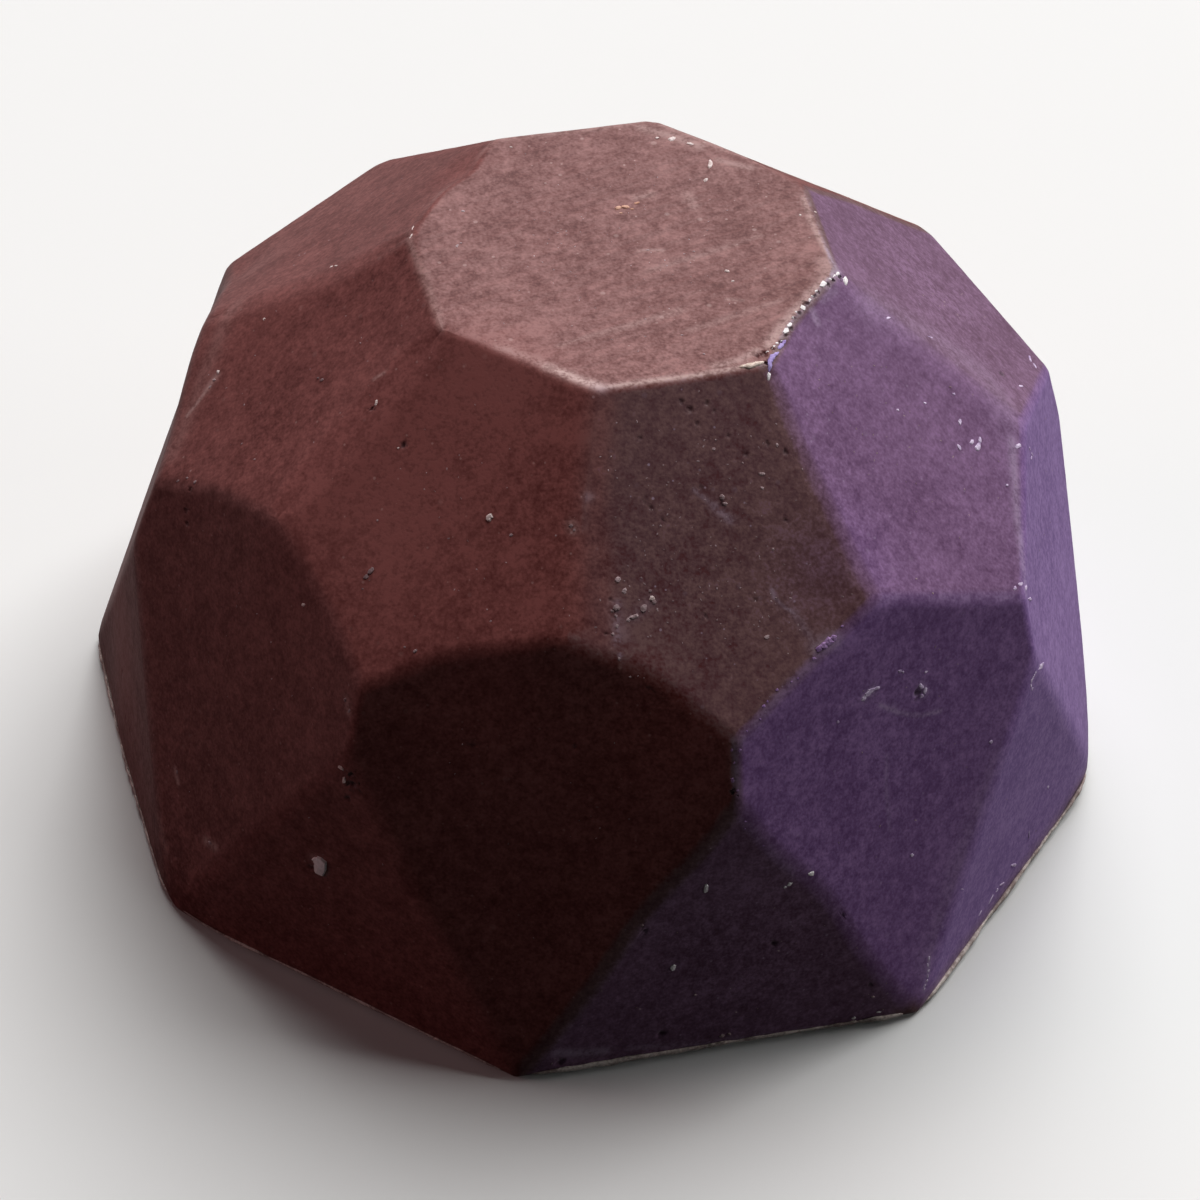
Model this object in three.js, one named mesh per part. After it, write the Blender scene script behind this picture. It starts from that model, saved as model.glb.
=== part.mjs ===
// A chocolate bonbon: one solid dome with flat facets, cast in a rigid mould and scraped flat underneath.
// Units are millimetres, +Z is up, and the origin is the middle of the base. One side facet looks towards -Y.
import * as THREE from 'three';
import { ConvexGeometry } from 'three/addons/geometries/ConvexGeometry.js';

// Driving dimensions. Radii run from the dome's axis, heights from the base.
const SIDES = 8; // facets in each ring
const HEIGHT = 17;
const BASE_CORNER_RADIUS = 15;
const TABLE_CORNER_RADIUS = 6; // the flat octagon on top
const SHOULDER_TIP_RADIUS = 12.9; // the lowest corner of a shoulder facet
const SHOULDER_TIP_HEIGHT = 10.85;
const FOOT_TIP_RADIUS = 13.5; // the top corner of a foot triangle

// How far the mould rounds its edges off.
const FACET_EDGE_RADIUS = 0.7;
const TABLE_EDGE_RADIUS = 0.3;
const BASE_EDGE_RADIUS = 0.35;

const STEP = (2 * Math.PI) / SIDES;
const FLAT_RATIO = Math.cos(STEP / 2); // from a ring's corner radius to the middle of its straight edge
const TOLERANCE = 1e-6;

// A facet's plane. It is level along its ring, and its middle line falls from one point of the profile to another,
// each given as its radius and height. The azimuth runs from -Y towards +X.
function facetPlane(azimuth, [topRadius, topHeight], [footRadius, footHeight]) {
  const slope = new THREE.Vector2(topHeight - footHeight, footRadius - topRadius).normalize();
  const outward = new THREE.Vector3(Math.sin(azimuth), -Math.cos(azimuth), 0);
  const normal = outward.clone().multiplyScalar(slope.x).setZ(slope.y);
  const foot = outward.clone().multiplyScalar(footRadius).setZ(footHeight);
  return new THREE.Plane().setFromNormalAndCoplanarPoint(normal, foot);
}

// The table, the base, and three rings: shoulder facets below the table, side facets in line with its corners, and
// foot triangles that stand on the base between them.
function domePlanes() {
  const tableEdge = [TABLE_CORNER_RADIUS * FLAT_RATIO, HEIGHT];
  const shoulderTip = [SHOULDER_TIP_RADIUS, SHOULDER_TIP_HEIGHT];
  const sideTop = [SHOULDER_TIP_RADIUS * FLAT_RATIO, SHOULDER_TIP_HEIGHT];
  const baseCorner = [BASE_CORNER_RADIUS, 0];
  const sideSlope = sideTop[1] / (baseCorner[0] - sideTop[0]);
  const footTip = [FOOT_TIP_RADIUS, sideSlope * (BASE_CORNER_RADIUS - FOOT_TIP_RADIUS * FLAT_RATIO)];
  const baseEdge = [BASE_CORNER_RADIUS * FLAT_RATIO, 0];

  const up = new THREE.Vector3(0, 0, 1);
  const table = new THREE.Plane(up, -HEIGHT);
  const base = new THREE.Plane(up.clone().negate(), 0);
  const rings = [];
  for (let k = 0; k < SIDES; k++) {
    rings.push(facetPlane((k + 0.5) * STEP, tableEdge, shoulderTip));
    rings.push(facetPlane(k * STEP, sideTop, baseCorner));
    rings.push(facetPlane((k + 0.5) * STEP, footTip, baseEdge));
  }
  return { table, base, all: [table, base, ...rings] };
}

// The point that lies a given depth inside each of three planes, or null where two of them are parallel.
function meetingPoint([a, b, c], depth) {
  const bc = b.normal.clone().cross(c.normal);
  const volume = a.normal.dot(bc);
  if (Math.abs(volume) < TOLERANCE) return null;
  const ca = c.normal.clone().cross(a.normal);
  const ab = a.normal.clone().cross(b.normal);
  return bc.multiplyScalar(-a.constant - depth)
    .addScaledVector(ca, -b.constant - depth)
    .addScaledVector(ab, -c.constant - depth)
    .divideScalar(volume);
}

// One ball at each corner of the dome, touching the planes that meet there from the inside.
function cornerBalls({ table, base, all }) {
  const balls = [];
  for (let i = 0; i < all.length; i++)
    for (let j = i + 1; j < all.length; j++)
      for (let k = j + 1; k < all.length; k++) {
        const planes = [all[i], all[j], all[k]];
        let radius = FACET_EDGE_RADIUS;
        if (planes.includes(base)) radius = BASE_EDGE_RADIUS;
        if (planes.includes(table)) radius = TABLE_EDGE_RADIUS;
        const centre = meetingPoint(planes, radius);
        const fits = centre && all.every((plane) => plane.distanceToPoint(centre) < TOLERANCE - radius);
        if (fits) balls.push({ centre, radius });
      }
  return balls;
}

// Directions all round a ball: an even net of them, and the facets' own, so that each facet comes out truly flat.
function ballDirections(planes) {
  const net = new THREE.SphereGeometry(1, 4 * SIDES, 2 * SIDES).rotateX(Math.PI / 2).getAttribute('position');
  const directions = planes.map((plane) => plane.normal);
  for (let i = 0; i < net.count; i++) directions.push(new THREE.Vector3().fromBufferAttribute(net, i));
  return directions;
}

// The skin stretched over the corner balls: flat facets with rounded edges and corners between them.
function roundedDome() {
  const planes = domePlanes();
  const directions = ballDirections(planes.all);
  const points = cornerBalls(planes).flatMap(({ centre, radius }) =>
    directions.map((direction) => centre.clone().addScaledVector(direction, radius)));
  return new ConvexGeometry(points);
}

const chocolate = new THREE.MeshStandardMaterial({ color: 0x5a3430, roughness: 0.45, metalness: 0 });

const shell = new THREE.Mesh(roundedDome(), chocolate);
shell.name = 'bonbon';

const bonbon = new THREE.Group();
bonbon.add(shell);

export default bonbon;
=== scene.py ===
from math import cos, pi, radians, sin

import bmesh
import bpy
import numpy as np
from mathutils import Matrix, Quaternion, Vector, noise


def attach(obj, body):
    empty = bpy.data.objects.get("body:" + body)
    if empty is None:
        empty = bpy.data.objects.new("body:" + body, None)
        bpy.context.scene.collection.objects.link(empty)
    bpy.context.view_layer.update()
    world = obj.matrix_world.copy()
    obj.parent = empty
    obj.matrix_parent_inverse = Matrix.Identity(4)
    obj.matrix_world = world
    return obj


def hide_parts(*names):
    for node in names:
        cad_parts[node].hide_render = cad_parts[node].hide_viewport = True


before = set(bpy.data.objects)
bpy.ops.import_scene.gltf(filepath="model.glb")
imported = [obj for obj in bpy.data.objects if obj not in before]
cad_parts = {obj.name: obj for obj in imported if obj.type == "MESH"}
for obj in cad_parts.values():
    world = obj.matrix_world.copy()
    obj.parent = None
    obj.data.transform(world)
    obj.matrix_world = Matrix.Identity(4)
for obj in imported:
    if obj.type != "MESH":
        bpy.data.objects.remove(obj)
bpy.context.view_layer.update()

# A faceted bonbon of dark chocolate on a pale table. Shapes are worked out in millimetres, with the
# middle of the base as the origin, and turned into metres when they become meshes. Directions run round
# from -Y towards +X.
MM = 0.001

# The camera looks down at the bonbon from a little to the right of the front. It is a long lens held
# slightly askew, so the bonbon seems to lean. Small marks are placed later by the spot of the picture
# that they show in.
AIM_HEIGHT = 4.18
CAMERA_DISTANCE = 125.08
CAMERA_HEADING = radians(5.53)
CAMERA_ELEVATION = radians(42.55)
CAMERA_ROLL = radians(3.765)
LENS = 129.65
SENSOR = 36.0
PICTURE = 1200

aim = np.array([0.0, 0.0, AIM_HEIGHT])
towards_camera = Vector((
    sin(CAMERA_HEADING) * cos(CAMERA_ELEVATION),
    -cos(CAMERA_HEADING) * cos(CAMERA_ELEVATION),
    sin(CAMERA_ELEVATION),
))
eye = aim + CAMERA_DISTANCE * np.array(towards_camera)
look = towards_camera.to_track_quat("Z", "Y") @ Quaternion((0, 0, 1), CAMERA_ROLL)

camera = bpy.data.objects.new("camera", bpy.data.cameras.new("camera"))
bpy.context.scene.collection.objects.link(camera)
camera.location = Vector(eye) * MM
camera.rotation_mode = "QUATERNION"
camera.rotation_quaternion = look
camera.data.lens = LENS
camera.data.sensor_width = SENSOR
camera.data.clip_start = 0.01
camera.data.clip_end = 20
bpy.context.scene.camera = camera


# The shell is one solid casting of dark chocolate, knocked out of a rigid mould. Its facets are flat and
# satin, and its edges are rounded by the mould and by handling. A tint was sprayed over the side that
# faces +X.
SIDES = 8
STEP = 2 * pi / SIDES
FLAT_RATIO = cos(STEP / 2)
HEIGHT = 17.0
BASE_CORNER_RADIUS = 15.0
TABLE_CORNER_RADIUS = 6.0
SHOULDER_TIP = (12.9, 10.85)
FOOT_TIP_RADIUS = 13.5


def outward(turn):
    return np.array([sin(turn * STEP), -cos(turn * STEP), 0.0])


def sloping_plane(turn, top, foot):
    """The plane of a facet whose middle line falls from one (radius, height) to another."""
    normal = (top[1] - foot[1]) * outward(turn)
    normal[2] = foot[0] - top[0]
    normal /= np.linalg.norm(normal)
    on_plane = foot[0] * outward(turn)
    on_plane[2] = foot[1]
    return normal, normal @ on_plane


table_edge = (TABLE_CORNER_RADIUS * FLAT_RATIO, HEIGHT)
side_top = (SHOULDER_TIP[0] * FLAT_RATIO, SHOULDER_TIP[1])
side_slope = side_top[1] / (BASE_CORNER_RADIUS - side_top[0])
foot_tip = (FOOT_TIP_RADIUS, side_slope * (BASE_CORNER_RADIUS - FOOT_TIP_RADIUS * FLAT_RATIO))
planes = {
    "table": (np.array([0.0, 0.0, 1.0]), HEIGHT),
    "base": (np.array([0.0, 0.0, -1.0]), 0.0),
}
for k in range(SIDES):
    planes["shoulder", k + 0.5] = sloping_plane(k + 0.5, table_edge, SHOULDER_TIP)
    planes["side", k] = sloping_plane(k, side_top, (BASE_CORNER_RADIUS, 0.0))
    planes["foot", k + 0.5] = sloping_plane(k + 0.5, foot_tip, (BASE_CORNER_RADIUS * FLAT_RATIO, 0.0))
normals = np.array([normal for normal, offset in planes.values()])
offsets = np.array([offset for normal, offset in planes.values()])


def meet(*names):
    """The corner where three facets meet."""
    chosen = [planes[name] for name in names]
    return np.linalg.solve([normal for normal, offset in chosen], [offset for normal, offset in chosen])


# Rim corners are round the table, brows are the upper tips of the sides, cheeks and knees the ends of the
# short edge between two sides, and heels stand on the ground.
rim, brow, cheek, knee, heel = {}, {}, {}, {}, {}
for k in range(SIDES):
    before, after, following = (k - 0.5) % SIDES, k + 0.5, (k + 1) % SIDES
    rim[k] = meet("table", ("shoulder", before), ("shoulder", after))
    brow[k] = meet(("side", k), ("shoulder", before), ("shoulder", after))
    cheek[after] = meet(("shoulder", after), ("side", k), ("side", following))
    knee[after] = meet(("foot", after), ("side", k), ("side", following))
    heel[k] = meet("base", ("foot", before), ("foot", after))

# Each facet is a polygon, and each edge has its own softness. The creases that run down from the table
# differ most.
RIM_SOFTNESS = 0.08
CREASE_SOFTNESS = (0.15, 0.22, 0.32, 0.25, 0.22, 0.22, 0.32, 0.42)
BROW_SOFTNESS = 0.17
CHEEK_SOFTNESS = 0.10
KNEE_SOFTNESS = 0.13
HEEL_SOFTNESS = 0.34
SOFTNESS_SPREAD = 0.3
SETTLING_ROUNDS = 4
facets = {
    "table": [rim[k] for k in range(SIDES)],
    "base": [heel[k] for k in reversed(range(SIDES))],
}
edges = []
for k in range(SIDES):
    before, after, following = (k - 0.5) % SIDES, k + 0.5, (k + 1) % SIDES
    facets["shoulder", after] = [rim[k], brow[k], cheek[after], brow[following], rim[following]]
    facets["side", k] = [brow[k], cheek[before], knee[before], heel[k], knee[after], cheek[after]]
    facets["foot", after] = [knee[after], heel[k], heel[following]]
    edges += [
        (rim[k], rim[following], RIM_SOFTNESS),
        (rim[k], brow[k], CREASE_SOFTNESS[k]),
        (brow[k], cheek[before], BROW_SOFTNESS),
        (brow[k], cheek[after], BROW_SOFTNESS),
        (cheek[after], knee[after], CHEEK_SOFTNESS),
        (knee[after], heel[k], KNEE_SOFTNESS),
        (knee[after], heel[following], KNEE_SOFTNESS),
        (heel[k], heel[following], HEEL_SOFTNESS),
    ]

# The mesh lays a grid over each corner's share of each facet, with its lines crowded towards the facet's
# edges.
CELLS = 26
CROWDING = 1.6
JOIN_DISTANCE = 0.0005
run = 1 - (1 - np.linspace(0, 1, CELLS + 1)) ** CROWDING
across, down = (axis[..., None] for axis in np.meshgrid(run, run, indexing="ij"))
row = np.arange(CELLS)[:, None] * (CELLS + 1) + np.arange(CELLS)
cell_quads = np.stack([row, row + CELLS + 1, row + CELLS + 2, row + 1], axis=-1).reshape(-1, 4)
grids, quads = [], []
for polygon in facets.values():
    middle = np.mean(polygon, axis=0)
    for i, tip in enumerate(polygon):
        previous = (polygon[i - 1] + tip) / 2
        upcoming = (polygon[(i + 1) % len(polygon)] + tip) / 2
        near_middle = (1 - down) * middle + down * upcoming
        near_edge = (1 - down) * previous + down * tip
        quads.append(cell_quads + len(grids) * (CELLS + 1) ** 2)
        grids.append(((1 - across) * near_middle + across * near_edge).reshape(-1, 3))


def new_piece(name, points, faces):
    """A smoothly shaded mesh object from points in millimetres."""
    mesh = bpy.data.meshes.new(name)
    mesh.from_pydata((np.asarray(points) * MM).tolist(), [], [tuple(face) for face in faces])
    form = bmesh.new()
    form.from_mesh(mesh)
    bmesh.ops.remove_doubles(form, verts=form.verts, dist=JOIN_DISTANCE * MM)
    bmesh.ops.recalc_face_normals(form, faces=form.faces)
    form.to_mesh(mesh)
    form.free()
    mesh.shade_smooth()
    piece = bpy.data.objects.new(name, mesh)
    bpy.context.scene.collection.objects.link(piece)
    return piece


def points_of(piece):
    flat = np.empty(len(piece.data.vertices) * 3)
    piece.data.vertices.foreach_get("co", flat)
    return flat.reshape(-1, 3) / MM


def reshape(piece, points):
    piece.data.vertices.foreach_set("co", (points * MM).ravel())
    piece.data.update()
    bpy.context.view_layer.update()


def off_line(points, start, end):
    """How far each point is from the straight line between two points."""
    along = np.clip((points - start) @ (end - start) / np.sum((end - start) ** 2), 0, 1)
    return np.linalg.norm(points - start - along[:, None] * (end - start), axis=1)


def edge_softness(points):
    """How softly the facets blend around each point: the softness of the edges nearest to it."""
    total = np.zeros(len(points))
    weights = np.zeros(len(points))
    for start, end, softness in edges:
        weight = 1 / (off_line(points, start, end) + SOFTNESS_SPREAD) ** 3
        total += weight * softness
        weights += weight
    return total / weights


def settle(points):
    """Draws points onto the rounded shell, and gives the direction that the shell faces there."""
    softness = edge_softness(points)
    for _ in range(SETTLING_ROUNDS):
        reach = np.clip(points @ normals.T - offsets + softness[:, None], 0, None)
        length = np.linalg.norm(reach, axis=1)
        facing = (reach / length[:, None]) @ normals
        points = points - ((length - softness) / np.sum(facing ** 2, axis=1))[:, None] * facing
    return points, facing / np.linalg.norm(facing, axis=1)[:, None]


shell = new_piece("shell", np.concatenate(grids), np.concatenate(quads))
points, facing = settle(points_of(shell))
reshape(shell, points)


def spot(x, y):
    """The point of the shell that shows at a spot of the picture, and the way that the shell faces."""
    ray = look @ Vector(((x / PICTURE - 0.5) * SENSOR, (0.5 - y / PICTURE) * SENSOR, -LENS))
    hit, place, normal, face = shell.ray_cast(Vector(eye) * MM, ray.normalized())
    if not hit:
        raise ValueError(f"the spot {x}, {y} of the picture is beside the bonbon")
    return np.array(place) / MM, np.array(normal)


# The mould was cut by hand, so a few corners and creases wander from the even star: the spot where the
# even shell would show one, the spot where it is, and how far round it the shift reaches in millimetres.
WANDERING = [
    ((759, 370), (766, 366), 1.2),
    ((843, 279), (835, 273), 1.2),
    ((801, 324), (795, 319), 0.9),
    ((797, 179), (804, 187), 1.2),
    ((407, 226), (413, 231), 1.2),
    ((466, 165), (474, 170), 0.7),
    ((325, 268), (331, 279), 2.0),
    ((450, 667), (445, 653), 1.4),
    ((640, 686), (649, 672), 1.4),
    ((318, 605), (326, 600), 1.6),
    ((212, 503), (216, 492), 1.4),
    ((738, 812), (739, 806), 0.8),
    ((820, 900), (828, 893), 1.4),
    ((650, 915), (644, 910), 1.4),
]
wandering = [(spot(*even)[0], spot(*real)[0], breadth) for even, real, breadth in WANDERING]


def wander(points):
    """How far each point of the even shell is shifted."""
    shift = np.zeros_like(points)
    for start, end, breadth in wandering:
        near = np.sum((points - start) ** 2, axis=1) / (2 * breadth ** 2)
        shift += np.exp(-near)[:, None] * (end - start)
    return shift


# The sides swell or sink a little in places: spot, and rise and reach in millimetres.
SWELLINGS = [
    ((124, 705), 0.12, 1.6),
    ((222, 335), 0.22, 1.5),
    ((236, 272), -0.16, 0.8),
]
swelling = np.zeros_like(points)
for (x, y), rise, reach in SWELLINGS:
    middle = spot(x, y)[0]
    away = middle * (1, 1, 0) / np.hypot(middle[0], middle[1])
    near = np.sum((points - middle) ** 2, axis=1) / (2 * reach ** 2)
    swelling += rise * np.exp(-near)[:, None] * away

# Two heels are blunt, at the left and right of the picture: how far each tip is worn back in millimetres.
# The wear fades off behind the tip.
BLUNT_HEELS = {2: 0.34, 7: 0.32}
BLUNT_FADE = 1.15
blunting = np.zeros_like(points)
for k, loss in BLUNT_HEELS.items():
    behind = BASE_CORNER_RADIUS - points @ outward(k)
    blunting -= (loss * np.exp(-behind / (BLUNT_FADE * loss)))[:, None] * outward(k)
points += wander(points) + swelling + blunting

# Cooling leaves the flats slightly wavy, and the skin has a fine orange peel.
WAVE_LENGTH = 4.5
WAVE_HEIGHT = 0.03
PEEL_LENGTH = 0.55
PEEL_HEIGHT = 0.006
wave = np.array([noise.noise(Vector(point / WAVE_LENGTH)) for point in points])
peel = np.array([noise.noise(Vector(point / PEEL_LENGTH)) for point in points])
points += (wave * WAVE_HEIGHT + peel * PEEL_HEIGHT)[:, None] * facing
points[:, 2] = np.clip(points[:, 2], 0, None)
reshape(shell, points)

# Air bubbles and knocks left small pits: spot, radius and depth, the last two in pixels of the picture.
PIXEL = 0.0306
PIT_RAGGED = 0.9
PIT_LUMP = 0.8
PIT_REACH = 2
PAINTED_SHADE_BY_DEPTH = 1.3
PITS = [
    (372, 409, 2.6, 1.6), (404, 445, 3.2, 2.4), (186, 510, 3.0, 1.6), (187, 523, 2.6, 1.6),
    (190, 490, 2.4, 1.2), (1002, 374, 3.4, 2.0), (774, 944, 3.6, 2.4), (645, 931, 3.2, 2.0),
    (661, 1034, 5.0, 2.2), (917, 693, 4.2, 3.0), (352, 785, 4.6, 3.4), (351, 775, 3.4, 2.6),
    (348, 798, 3.4, 2.2), (733, 793, 3.4, 2.4), (474, 745, 2.2, 1.0), (575, 747, 2.2, 1.0),
    (785, 452, 2.4, 1.4), (722, 505, 2.4, 1.2), (560, 1062, 5.5, 1.6), (843, 915, 2.4, 1.2),
    (870, 985, 2.4, 1.4), (312, 868, 4.0, 2.0), (682, 402, 2.6, 1.0), (690, 410, 3.2, 1.2),
    (707, 404, 2.8, 1.1), (697, 424, 2.6, 0.9), (714, 411, 2.0, 0.7), (640, 438, 2.2, 0.8),
    (644, 501, 2.2, 0.8), (651, 508, 2.8, 1.0), (728, 436, 2.0, 0.7), (746, 455, 2.4, 1.0),
    (701, 488, 2.2, 0.8), (610, 600, 2.2, 0.8), (606, 634, 2.0, 0.7), (649, 689, 2.4, 1.0),
    (767, 443, 2.0, 1.0), (663, 520, 2.0, 1.0), (755, 600, 2.0, 1.0), (705, 616, 2.0, 1.0),
    (785, 520, 2.0, 1.0), (764, 354, 4.6, 2.2), (757, 356, 3.2, 1.4), (766, 363, 2.8, 1.8),
    (772, 349, 2.6, 1.4), (781, 342, 2.6, 1.6), (786, 335, 2.2, 1.4), (791, 329, 2.4, 1.6),
    (794, 318, 2.0, 1.2), (799, 313, 2.6, 1.6), (806, 303, 2.8, 1.8), (814, 296, 2.2, 1.4),
    (818, 292, 2.0, 1.0), (828, 284, 2.8, 1.6), (833, 280, 2.2, 1.6), (840, 278, 2.6, 1.8),
    (122, 671, 3.0, 1.2), (126, 718, 2.2, 1.0), (130, 731, 2.2, 1.0), (134, 743, 2.2, 1.0),
]
pits = [(*spot(x, y), radius * PIXEL, depth * PIXEL) for x, y, radius, depth in PITS]

# Edges rubbed pale, scratches and smears, and some painted highlights along edges and a crease: how pale,
# how wide in pixels, and the spots that the line runs through.
WORN_AND_HIGHLIT = [
    # The pale line along the front of the rim is partly wear and partly a painted highlight on its rounded
    # edge.
    (0.18, 5, [(500, 347), (530, 359), (556, 370)]),
    (0.70, 5, [(548, 367), (575, 378), (600, 387)]),
    (0.60, 3, [(600, 388), (650, 381), (700, 375), (757, 364)]),
    (0.35, 4, [(715, 366), (740, 360), (757, 350)]),
    (0.40, 3, [(836, 268), (824, 246), (812, 222), (804, 197)]),
    (0.25, 9, [(828, 262), (826, 285)]),
    (0.45, 5, [(838, 272), (810, 294), (788, 320), (768, 345)]),
    (0.30, 5, [(640, 127), (675, 137), (700, 146)]),
    (0.30, 5, [(1012, 440), (1018, 520), (1026, 592)]),
    (0.10, 22, [(872, 305), (930, 335), (985, 375), (1010, 420)]),
    # This band down a crease low on the tinted side is a painted highlight.
    (0.10, 14, [(1000, 760), (960, 860), (926, 965)]),
    (0.25, 4, [(733, 742), (736, 790)]),
    (0.14, 5, [(740, 742), (775, 700), (825, 650)]),
    (0.10, 5, [(745, 825), (790, 872)]),
    (0.06, 4, [(737, 815), (690, 872), (600, 985), (545, 1060)]),
    (0.10, 10, [(236, 305), (216, 345), (196, 395), (172, 455)]),
    (0.14, 6, [(158, 818), (166, 850)]),
]
MARKS = [
    # The first two lines, along the left edge, are a painted highlight.
    (0.40, 2.5, [(187, 416), (203, 395), (216, 376)]),
    (0.25, 5.0, [(206, 390), (216, 376)]),
    (0.22, 4.0, [(714, 506), (730, 520)]),
    (0.18, 2.0, [(694, 490), (714, 506)]),
    (0.30, 1.8, [(772, 590), (774, 597), (783, 606), (794, 613)]),
    (0.14, 4.0, [(794, 613), (804, 628), (815, 643)]),
    (0.22, 4.0, [(617, 604), (616, 618), (617, 640)]),
    (0.10, 8.0, [(614, 608), (620, 636)]),
    (0.08, 5.0, [(634, 617), (652, 600)]),
    (0.25, 2.0, [(620, 655), (620, 668)]),
    (0.25, 5.0, [(571, 525), (573, 529)]),
    (0.20, 4.0, [(586, 497), (590, 497)]),
    (0.35, 2.0, [(880, 705), (900, 713), (920, 716), (940, 711)]),
    (0.40, 5.0, [(866, 696), (872, 690)]),
    (0.30, 5.0, [(921, 687), (924, 694)]),
    (0.14, 2.0, [(887, 755), (886, 790), (890, 830)]),
    (0.35, 3.0, [(929, 957), (928, 974), (924, 990)]),
    (0.32, 8.0, [(818, 648), (834, 641)]),
    (0.28, 4.0, [(812, 310), (817, 322)]),
    (0.22, 4.0, [(822, 300), (835, 290)]),
    (0.36, 5.0, [(556, 1053), (580, 1053), (605, 1051)]),
    (0.16, 4.0, [(630, 1048), (700, 1044), (760, 1036)]),
    (0.30, 1.8, [(727, 299), (742, 300)]),
    (0.25, 1.8, [(640, 250), (664, 250)]),
    (0.22, 5.0, [(636, 197), (650, 194)]),
    (0.16, 6.0, [(688, 195), (694, 206)]),
    (0.30, 2.0, [(374, 379), (384, 373)]),
    (0.25, 4.0, [(346, 698), (348, 712)]),
    (0.40, 2.5, [(175, 769), (178, 783)]),
    (0.40, 4.0, [(206, 841), (215, 847)]),
    (0.45, 6.0, [(316, 861), (320, 870)]),
    (0.14, 4.0, [(560, 345), (620, 328), (680, 310)]),
    (0.12, 3.5, [(650, 270), (705, 254), (760, 235)]),
    (0.12, 3.5, [(690, 330), (740, 314), (780, 300)]),
    (0.22, 4.0, [(718, 160), (750, 168), (785, 174)]),
]
worn_and_highlit_paths = [
    (strength, width * PIXEL, [spot(x, y)[0] for x, y in line])
    for strength, width, line in WORN_AND_HIGHLIT + MARKS
]


def off_path(points, path):
    """How far each point is from a line of points."""
    nearest = np.full(len(points), np.inf)
    for start, end in zip(path[:-1], path[1:]):
        nearest = np.minimum(nearest, off_line(points, start, end))
    return nearest


# The mesh is made finer round the pits and marks, so that they come out sharp. The reach is in pit radii
# and in widths of a mark.
FINER_CUTS = 3
FINER_BY_PITS = 2.2
FINER_BY_MARKS = 1.5
FINER_MARGIN = 0.05
form = bmesh.new()
form.from_mesh(shell.data)
form.faces.ensure_lookup_table()
centres = np.array([face.calc_center_median() for face in form.faces]) / MM
fine = np.zeros(len(centres), dtype=bool)
for centre, facing_out, radius, depth in pits:
    fine |= np.linalg.norm(centres - centre, axis=1) < FINER_BY_PITS * radius
for strength, width, path in worn_and_highlit_paths[len(WORN_AND_HIGHLIT):]:
    fine |= off_path(centres, path) < FINER_BY_MARKS * width + FINER_MARGIN
borders = sorted({edge.index for i in np.flatnonzero(fine) for edge in form.faces[i].edges})
form.edges.ensure_lookup_table()
border_edges = [form.edges[i] for i in borders]
bmesh.ops.subdivide_edges(form, edges=border_edges, cuts=FINER_CUTS, use_grid_fill=True)
form.to_mesh(shell.data)
form.free()
points = points_of(shell)
# Inside each pit the colour is darkened with painted shade, the more so the deeper the pit.
painted_pit_shade = np.zeros(len(points))
for centre, facing_out, radius, depth in pits:
    distance = np.linalg.norm(points - centre, axis=1) / radius
    for i in np.flatnonzero(distance < PIT_REACH):
        distance[i] *= 1 + PIT_RAGGED * noise.noise(Vector(points[i] / (PIT_LUMP * radius)))
    points -= (depth * np.clip(1 - distance ** 2, 0, None) ** 2)[:, None] * facing_out
    painted_pit_shade = np.maximum(painted_pit_shade, min(1, PAINTED_SHADE_BY_DEPTH * depth / radius) * np.exp(-distance ** 4))
reshape(shell, points)
shell.data.shade_smooth()


def band(path, width):
    """A value for each point of the shell: 1 along a line, fading to 0 beside it."""
    return np.exp(-(off_path(points, path) / width) ** 2)


# The wear goes on round the back of the rim, which the picture doesn't show.
HIDDEN_RIMS = range(3, 7)
HIDDEN_WEAR = 0.3
HIDDEN_WIDTH = 0.12
wear_and_highlight = np.zeros(len(points))
for strength, width, path in worn_and_highlit_paths:
    wear_and_highlight = np.maximum(wear_and_highlight, strength * band(path, width))
for k in HIDDEN_RIMS:
    wear_and_highlight = np.maximum(wear_and_highlight, HIDDEN_WEAR * band([rim[k], rim[k + 1]], HIDDEN_WIDTH))


def store(name, values):
    """Keeps a value for each point of the shell under a name that the material reads."""
    values_of = shell.data.attributes.new(name, "FLOAT", "POINT")
    values_of.data.foreach_set("value", np.asarray(values, dtype=np.float32))


def patches(base, spots):
    """A value that differs from the base round some spots: by how much, how far in pixels, and where."""
    values = np.full(len(points), base)
    for strength, reach, (x, y) in spots:
        near = np.sum((points - spot(x, y)[0]) ** 2, axis=1) / (reach * PIXEL) ** 2
        values += strength * np.exp(-near)
    return values


store("wear_and_highlight", wear_and_highlight)
store("painted_pit_shade", painted_pit_shade)

# Handling left some places dusty. The grain is also coarser in some places than in others.
store("dustiness", patches(0.15, [
    (0.7, 110, (690, 480)), (0.6, 80, (700, 610)), (0.5, 90, (640, 180)), (0.4, 70, (730, 190)),
    (0.3, 90, (380, 450)), (0.4, 60, (190, 500)), (0.5, 60, (150, 820)), (0.5, 70, (620, 1030)),
    (0.5, 90, (760, 960)), (0.3, 90, (930, 290)),
]))
store("coarseness", patches(1.0, [
    (0.50, 120, (710, 500)), (0.40, 90, (690, 620)), (0.35, 130, (870, 750)), (0.55, 110, (740, 960)),
    (0.45, 80, (930, 290)), (0.50, 110, (1045, 560)), (0.30, 70, (170, 860)), (0.28, 150, (420, 490)),
]))

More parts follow.
